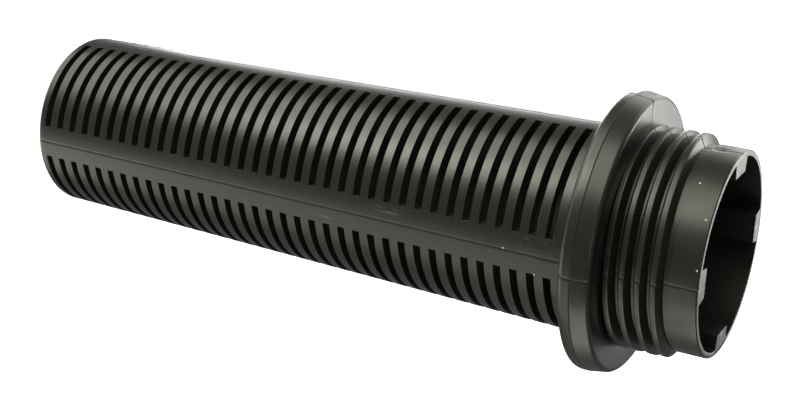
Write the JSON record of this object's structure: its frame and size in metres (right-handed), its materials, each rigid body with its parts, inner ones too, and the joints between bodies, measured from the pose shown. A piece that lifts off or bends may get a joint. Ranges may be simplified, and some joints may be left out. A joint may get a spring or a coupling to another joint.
{
  "type": "sand filter lateral",
  "caption": "Slotted tube that is closed at one end, with a round flange and an external pipe thread round its open mouth; it collects water in the bed of a sand filter.",
  "frame": {"origin": "centre of the closed tip's outer face, on the surface that the lateral stands on", "axes": "+Z along the tube's axis from the closed tip to the threaded mouth; the four plain ribs lie along +X, +Y, -X and -Y"},
  "size_m": [0.0424, 0.0424, 0.1163],
  "materials": {
    "black_plastic": "satin black injection moulded plastic with a faint olive grey sheen"
  },
  "bodies": {
    "root": {"lateral": "black_plastic"}
  },
  "joints": []
}
